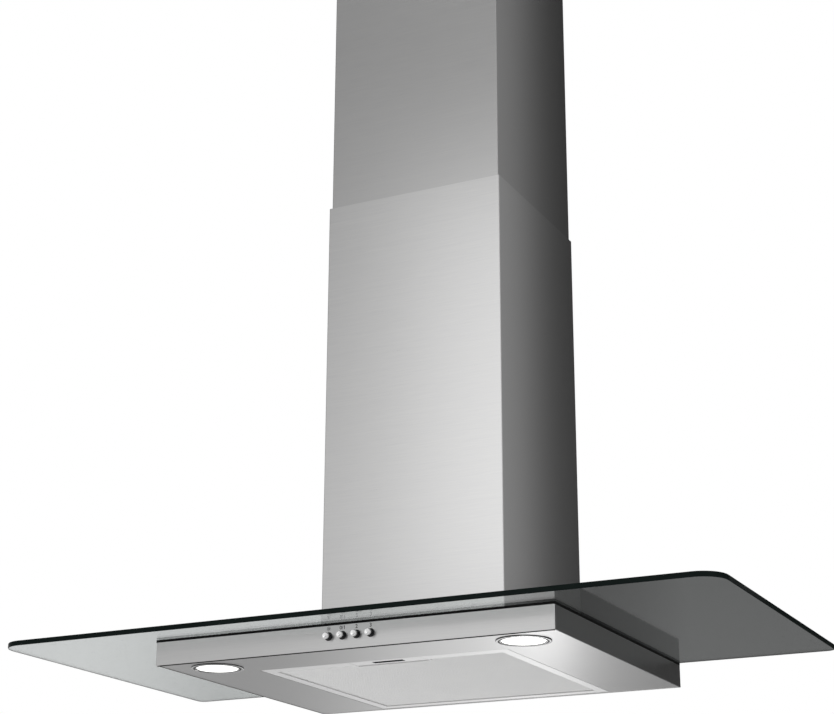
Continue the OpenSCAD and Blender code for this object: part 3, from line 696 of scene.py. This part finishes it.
# a closed profile of (radius, height) points, spun round an axis through a point
def spunPiece(name, body, profile, centre, axis, materials, replaced=(), steps=72, marked=None):
    bm = bmesh.new()
    turn = Vector((0, 0, 1)).rotation_difference(Vector(axis)).to_matrix().to_4x4()
    placed = Matrix.Translation(centre) @ turn
    points = [bm.verts.new((r, 0, h)) for r, h in profile]
    edges = [bm.edges.new(pair) for pair in zip(points, points[1:] + points[:1])
             if not (pair[0].co.x == 0 and pair[1].co.x == 0)]
    bmesh.ops.spin(bm, geom=points + edges, cent=(0, 0, 0), axis=(0, 0, 1), angle=2 * pi, steps=steps,
                   use_merge=True)
    bmesh.ops.remove_doubles(bm, verts=bm.verts, dist=tiny)
    bmesh.ops.recalc_face_normals(bm, faces=bm.faces)
    if marked:
        for face in bm.faces:
            middle = face.calc_center_median()
            face.material_index = marked((middle.x ** 2 + middle.y ** 2) ** 0.5, middle.z)
    bmesh.ops.transform(bm, matrix=placed, verts=bm.verts)
    return addPiece(bm, name, body, materials, replaced)


lamp = {"groove": (26.6, 28.2), "lens": 24.7, "neck": (25.2, 26.8), "panel": 1.2, "steps": 96}  # radii, mm


def addLamp(side):
    lo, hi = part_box(side + "_lamp_trim")
    x, y = (lo.x + hi.x) / 2, (lo.y + hi.y) / 2
    low, panel, top = lo.z / mm, lo.z / mm + lamp["panel"], hi.z / mm
    outer = (hi.x - lo.x) / 2 / mm
    inner = lamp["lens"] + 0.15
    grooveIn, grooveOut = lamp["groove"]
    neckIn, neckOut = lamp["neck"]
    profile = [
        (inner, panel + 0.6), (inner, low + 0.35), (inner + 0.35, low + 0.1),  # round the lens
        (grooveIn - 0.3, low + 0.1), (grooveIn, low + 0.4), (grooveIn + 0.1, low + 0.8),
        (grooveOut - 0.1, low + 0.8), (grooveOut, low + 0.3), (grooveOut + 0.35, low),
        (outer - 0.7, low), (outer - 0.2, low + 0.2), (outer, low + 0.65), (outer, panel),  # the flange
        (neckOut, panel), (neckOut, top), (neckIn, top), (neckIn, panel + 0.6),
    ]
    ringSteel = turned(side + "LampRing", (0.72, 0.72, 0.72), 0.24, 2, (x, y, 0))

    # painted shade and dark reflection: black between the rings, next to the lens and round the flange's outer
    # wall, where the trim falls dark
    def marked(r, h):
        groove = (grooveIn - 0.35) * mm < r < (grooveOut + 0.05) * mm and h < (low + 0.85) * mm
        return 1 if groove or r < (inner + 0.2) * mm or (r > (outer - 0.35) * mm) else 0

    profile = [(r * mm, h * mm) for r, h in profile]
    spunPiece(side + "_lamp_ring", bodyOf[side + "_lamp_trim"], profile, (x, y, 0), (0, 0, 1),
              [ringSteel, blackPlastic], [side + "_lamp_trim"], steps=lamp["steps"], marked=marked)
    lo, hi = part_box(side + "_lamp_lens")
    r, low, top = (hi.x - lo.x) / 2, lo.z, hi.z
    profile = [
        (0, low + 0.15 * mm), (r * 0.5, low + 0.1 * mm), (r - 1.2 * mm, low), (r - 0.4 * mm, low + 0.15 * mm),
        (r, low + 0.6 * mm), (r, top - 0.3 * mm), (r - 0.3 * mm, top), (0, top),
    ]
    spunPiece(side + "_lamp_glass", bodyOf[side + "_lamp_lens"], profile, (x, y, 0), (0, 0, 1), lensGlow,
              [side + "_lamp_lens"], steps=lamp["steps"])


for side in ("left", "right"):
    addLamp(side)
print("lamps made")

button = {"round": 0.55 * mm, "dish": 0.25 * mm, "back": 0.25 * mm}


def addButton(key):
    cap = key + "_button" if key != "lamp_button" else key
    lo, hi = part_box(cap)
    r, deep = (hi.x - lo.x) / 2, hi.y - lo.y
    centre = ((lo.x + hi.x) / 2, hi.y, (lo.z + hi.z) / 2)
    soft, dish, back = button["round"], button["dish"], button["back"]
    profile = [
        (0, 0), (r - back, 0), (r, back),
        (r, deep - soft), (r - soft * 0.3, deep - soft * 0.3), (r - soft, deep),
        (r - soft - 0.5 * mm, deep - 0.05 * mm), (r * 0.5, deep - dish * 0.8), (0, deep - dish),
    ]
    capMetal = turned(cap + "Metal", (0.88, 0.88, 0.88), 0.20, 1, centre)
    spunPiece(cap + "_cap", bodyOf[cap], profile, centre, (0, -1, 0), capMetal, [cap], steps=48)


for key in ("lamp_button", "speed_1", "speed_2", "speed_3"):
    addButton(key)
print("buttons made")


# a coil spring copied from its CAD node onto a mesh of its own; its joint's travel is read, but nothing shortens
# it
def addSpring(name, joint):
    lo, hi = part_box(name)
    travel = next(each for each in frame["joints"] if each["name"] == joint)["range_m"][1]
    long = hi.y - lo.y
    piece = addPiece(cleanCopy(name), name + "_coil", bodyOf[name], springWire, [name], smooth=50)
    (long - travel) / long
    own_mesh(piece)


for key, joint in (("lamp_button", "lamp_press"), ("speed_1", "speed_1_press"), ("speed_2", "speed_2_press"),
                   ("speed_3", "speed_3_press")):
    addSpring(key + "_spring", joint)
addSpring("filter_latch_springs", "latch_slide")
print("springs made")


marks = {
    "height": 4.4 * mm,
    "above": 4.9 * mm,
    "proud": 0.05 * mm,
    "line": 0.6 * mm,
    "bold": 0.10 * mm,
    "letter": 1.35,  # size of the font for each height of its figures
}
sign = {"height": 1.2, "sides": 24, "rays": 8, "ring": 0.26, "ray": (0.16, 0.8), "out": 0.42}


def textMesh(words, height):
    data = bpy.data.curves.new("words", "FONT")
    data.body = words
    data.size = height * marks["letter"]
    data.align_x, data.align_y = "CENTER", "CENTER"
    data.resolution_u = 4
    data.offset = marks["bold"]
    data.extrude = marks["proud"] / 2
    holder = bpy.data.objects.new("words", data)
    bpy.context.scene.collection.objects.link(holder)
    mesh = bpy.data.meshes.new_from_object(holder.evaluated_get(bpy.context.evaluated_depsgraph_get()))
    bpy.data.objects.remove(holder)
    bm = bmesh.new()
    bm.from_mesh(mesh)
    bpy.data.meshes.remove(mesh)
    bmesh.ops.remove_doubles(bm, verts=bm.verts, dist=tiny)
    return bm


# a lamp sign: a ring with short rays round it
def lampSign(height):
    bm = bmesh.new()
    r = height * sign["ring"]
    spoke = [bm.verts.new((r - marks["line"], 0, 0)), bm.verts.new((r, 0, 0))]
    spoke.append(bm.edges.new(spoke))
    bmesh.ops.spin(bm, geom=spoke, cent=(0, 0, 0), axis=(0, 0, 1), angle=2 * pi, steps=sign["sides"],
                   use_merge=True)
    long, wide = sign["ray"]
    for k in range(sign["rays"]):
        made = bmesh.ops.create_grid(bm, x_segments=1, y_segments=1, size=0.5)
        bmesh.ops.scale(bm, verts=made["verts"], vec=(height * long, marks["line"] * wide, 1))
        bmesh.ops.translate(bm, verts=made["verts"], vec=(height * sign["out"], 0, 0))
        bmesh.ops.rotate(bm, verts=made["verts"], matrix=Matrix.Rotation(2 * pi * k / sign["rays"], 3, "Z"))
    bmesh.ops.remove_doubles(bm, verts=bm.verts, dist=tiny / 10)
    thicken(bm, bm.faces[:], marks["proud"])
    bmesh.ops.recalc_face_normals(bm, faces=bm.faces)
    return bm


def addMark(name, bm, cap):
    lo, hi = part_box(cap)
    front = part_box("canopy_frame")[0].y
    upright = Matrix.Rotation(radians(90), 4, "X")
    bmesh.ops.transform(bm, matrix=upright, verts=bm.verts)
    place = ((lo.x + hi.x) / 2, front - marks["proud"] / 2, hi.z + marks["above"])
    bmesh.ops.translate(bm, verts=bm.verts, vec=place)
    piece = addPiece(bm, name, bodyOf["canopy_frame"], printedBlack, smooth=0)


addMark("lamp_mark", lampSign(marks["height"] * sign["height"]), "lamp_button")
for words, key in (("0/1", "speed_1"), ("2", "speed_2"), ("3", "speed_3")):
    addMark(key + "_mark", textMesh(words, marks["height"]), key + "_button")
print("marks made")


# widths in mm
easedInside = {
    "support_plate": 0.3, "wall_plate": 0.5, "blower_casing": 0.3, "ceiling_bracket": 0.35,
    "glass_bolts": 0.35, "bracket_screws": 0.4, "outlet_collar": 0.4, "damper_flap_front": 0.25,
    "damper_flap_rear": 0.25, "terminal_box": 0.7, "supply_gland": 0.6, "motor_capacitor": 1.2,
    "lamp_transformer": 1.5, "motor_body": 2.0, "switch_block": 0.6, "chimney_glides": 0.3,
    "motor_bracket": 0.3, "left_lamp_socket": 0.8, "right_lamp_socket": 0.8, "left_lamp_reflector": 0.2,
    "right_lamp_reflector": 0.2, "scroll_left": 0.4, "scroll_right": 0.4,
}
for name, width in easedInside.items():
    easedNode(name, width * mm, plainFinishes[name])
print("inner pieces eased")


stage = {"floor": -0.95, "size": 30.0}


def paleFloor():
    def paint(start):
        cloud = noise(start, 0.6, detail=1.0)
        return {"Base Color": mixColour(cloud, (0.84, 0.84, 0.845), (0.87, 0.87, 0.87))}

    return newMaterial("paleFloor", paint, Roughness=0.9, Specular_IOR_Level=0.1)


def addFloor():
    bm = bmesh.new()
    bmesh.ops.create_grid(bm, x_segments=1, y_segments=1, size=stage["size"])
    bmesh.ops.translate(bm, verts=bm.verts, vec=(0, 0, stage["floor"]))
    mesh = bpy.data.meshes.new("floor")
    bm.to_mesh(mesh)
    bm.free()
    mesh.materials.append(paleFloor())
    floor = bpy.data.objects.new("floor", mesh)
    bpy.context.scene.collection.objects.link(floor)
    floor.visible_glossy = False
    floor.visible_transmission = False


# the studio round the object: white behind it, and soft bright and dark areas that only reflections see
# tones by the way round from +Y, in degrees, and by the height over the horizon
studio = {
    "above": (
        (-180, 0.60), (-165, 0.64), (-156, 0.62), (-148, 0.54), (-135, 0.44), (-120, 0.28), (-60, 0.33),
        (-36, 0.48), (-29, 0.47), (-25, 0.05), (-22.5, 0.012), (-20, 0.03), (-18.5, 0.065), (4, 0.06),
        (14, 0.022), (30, 0.03), (38, 0.10), (55, 0.12), (80, 0.4), (110, 0.8), (180, 0.60),
    ),
    "skirt": (
        (-180, 0.55), (-60, 0.50), (-36, 0.40), (-32, 0.20), (-29, 0.30), (-26, 0.60), (-23, 0.62),
        (-22.2, 0.10), (-18, 0.13), (0, 0.09), (40, 0.08), (60, 0.45), (180, 0.55),
    ),
    "below": (
        (-180, 0.55), (-60, 0.50), (-36, 0.34), (-32, 0.16), (-29, 0.27), (-26, 0.62), (-22.5, 1.0),
        (-20, 1.0), (-18.0, 0.12), (-8, 0.09), (10, 0.06), (40, 0.08), (60, 0.45), (180, 0.55),
    ),
    "skirtTo": (
        (-90, 1.0), (-24, 1.0), (-15, 0.0), (90, 0.0),
    ),
    "height": (
        (-90, 0.9), (0, 1.0), (11, 1.0), (15, 0.86), (20, 0.64), (25, 0.47), (32, 0.36), (60, 0.5),
        (90, 0.8),
    ),
    "strength": 1.5,
    "diffuse": 0.9,
}


# tones at stops over a circle or a half circle, in degrees, for a value from 0 to 1
def toneBand(value, name, span):
    stops = [(place / span + 0.5, tone) for place, tone in studio[name]]
    return value.node("ValToRGB", {"stops": stops}, {0: value})


def addStudio():
    world = bpy.data.worlds.new("studio")
    bpy.context.scene.world = world
    world.use_nodes = True
    tree = world.node_tree
    start = Val(tree)
    way = start.node("TexCoord", out=0)
    part = way.node("SeparateXYZ", {}, {0: way})
    x, y, z = (Val(tree, part.socket.node.outputs[i]) for i in range(3))
    around = x.maths("ARCTAN2", x, y) * (0.5 / pi) + 0.5
    rise = z.maths("ARCSINE", z) * (1 / pi) + 0.5
    above, skirt, below = (toneBand(around, name, 360) for name in ("above", "skirt", "below"))
    sunk, height = (toneBand(rise, name, 180) for name in ("skirtTo", "height"))
    shine = mixColour(z > 0.0, mixColour(sunk, skirt, below), above)
    lit = shine.node("VectorMath", {"operation": "MULTIPLY"}, {0: shine, 1: height})
    bright = lit.node("VectorMath", {"operation": "MULTIPLY"}, {0: lit, 1: [studio["strength"]] * 3})
    seen = start.node("LightPath", out=0)
    spread = start.node("LightPath", out=2)
    background = tree.nodes["Background"]
    colour = mixColour(seen, mixColour(spread, bright, studio["diffuse"]), 1.0)
    tree.links.new(colour.socket, background.inputs["Color"])


def addSoftbox(name, place, aim, size, power):
    data = bpy.data.lights.new(name, "AREA")
    data.shape = "RECTANGLE"
    data.size, data.size_y = size
    data.energy = power
    holder = bpy.data.objects.new(name, data)
    holder.location = place
    holder.rotation_mode = "QUATERNION"
    holder.rotation_quaternion = (Vector(aim) - Vector(place)).to_track_quat("-Z", "Y")
    holder.visible_camera = False
    holder.visible_transmission = False
    bpy.context.scene.collection.objects.link(holder)


addFloor()
addStudio()
addSoftbox("keySoftbox", (-0.15, -1.25, 0.70), (-0.15, 0.0, 0.70), (0.70, 0.90), 1.45)
addSoftbox("sideSoftbox", (0.41, 0.10, 0.88), (0.41, -1.0, 0.88), (0.32, 1.5), 0.56)
addSoftbox("panelSoftbox", (-0.16, 0.54, -0.52), (0.12, -0.20, 0.0), (0.10, 0.50), 0.38)
addSoftbox("topSoftbox", (0.0, -0.8, 3.0), (0.0, 0.0, 0.3), (2.5, 2.5), 20)
bpy.context.scene.view_settings.view_transform = "Standard"
print("stage lit")
